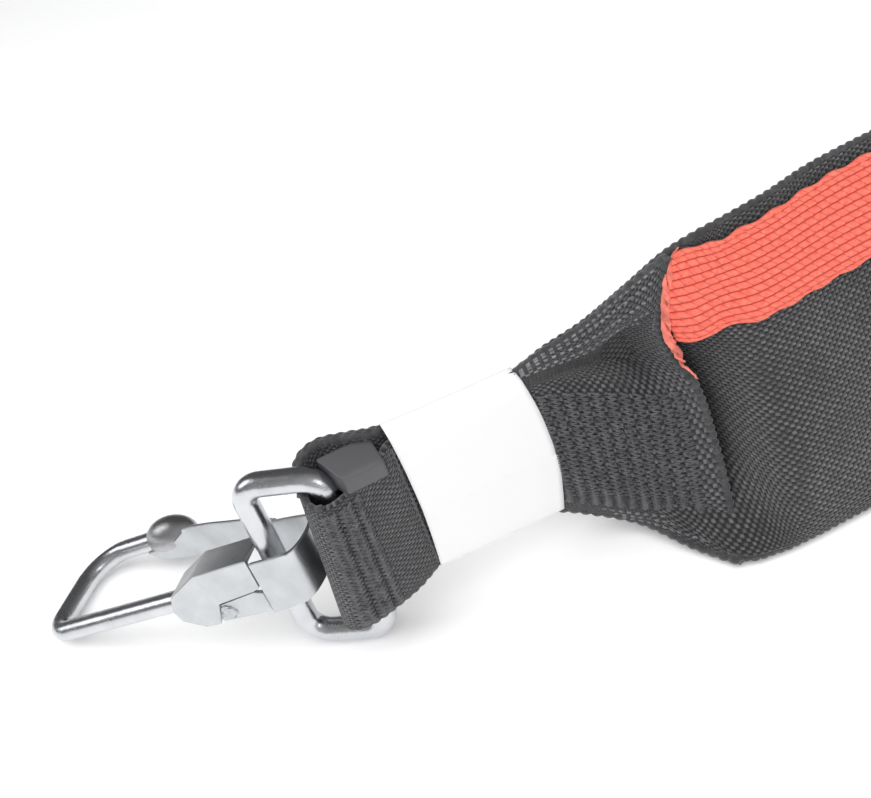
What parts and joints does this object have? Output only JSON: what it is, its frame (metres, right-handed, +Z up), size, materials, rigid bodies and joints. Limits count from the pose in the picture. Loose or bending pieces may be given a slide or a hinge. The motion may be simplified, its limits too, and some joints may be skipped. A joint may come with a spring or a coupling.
{
  "type": "shoulder harness with snap hook",
  "caption": "Closed shoulder belt with a coloured stripe, gathered into a webbing loop that carries a wire bail and a sprung steel snap hook for hanging a hand-held power tool.",
  "frame": {"origin": "on the surface the harness stands on, under the middle of the front run's lower edge", "axes": "+X along the belt away from the hook, +Y from the front run towards the rear run, +Z up"},
  "size_m": [0.4893, 0.1123, 0.08],
  "materials": {
    "zinc_steel": "bright zinc-plated wire",
    "zinc_sheet": "zinc-plated pressed sheet",
    "spring_steel": "plain spring wire",
    "black_webbing": "ribbed polyester webbing",
    "black_belt": "open basket weave belt",
    "orange_webbing": "ribbed coloured webbing",
    "black_thread": "heavy sewing thread",
    "orange_thread": "sewing thread",
    "gloss_liner": "smooth glossy moulding",
    "black_plastic": "satin moulding",
    "paper_band": "plain white paper"
  },
  "bodies": {
    "harness": {"hook_webbing": "black_webbing", "loop_liner": "gloss_liner", "loop_stitching": "black_thread", "label_band": "paper_band", "front_neck": "black_webbing", "neck_stitching": "black_thread", "belt_front_run": "black_belt", "belt_bend": "black_belt", "belt_rear_run": "black_belt", "stripe": "orange_webbing", "stripe_stitching": "orange_thread", "rear_neck": "black_belt", "rear_neck_stitching": "black_thread", "adjust_web": "black_webbing", "web_tail": "black_webbing", "tail_hem": "black_webbing"},
    "bail_ring": {"bail": "zinc_steel"},
    "hook": {"hook_rod": "zinc_steel", "hook_body": "zinc_sheet", "eye_band": "zinc_sheet", "body_rivet": "zinc_sheet", "gate_pin": "zinc_sheet"},
    "hook_gate": {"gate": "zinc_sheet", "gate_spring": "spring_steel"},
    "adjuster": {"adjuster_frame": "black_plastic", "adjuster_bar": "black_plastic"},
    "keeper": {"web_keeper": "black_plastic"}
  },
  "joints": [
    {"name": "bail_swing", "type": "hinge", "parent": "harness", "child": "bail_ring", "pos_m": [-0.1395, 0.03, 0.024], "axis": [0, 0, 1], "range_deg": [-50, 110]},
    {"name": "hook_swing", "type": "hinge", "parent": "bail_ring", "child": "hook", "pos_m": [-0.15669, 0.04117, 0.024], "axis": [0, 0, 1], "range_deg": [-70, 90]},
    {"name": "gate_open", "type": "hinge", "parent": "hook", "child": "hook_gate", "pos_m": [-0.16391, 0.05724, 0.0198], "axis": [-0.2095, 0.1579, 0.965], "range_deg": [0, 24], "stiffness_Nm_per_rad": 0.25, "springref_deg": -20.05},
    {"name": "adjuster_slide", "type": "slide", "parent": "harness", "child": "adjuster", "axis": [1, 0, 0], "range_m": [-0.038, 0.03]},
    {"name": "keeper_slide", "type": "slide", "parent": "harness", "child": "keeper", "axis": [1, 0, 0], "range_m": [-0.034, 0.018]}
  ]
}
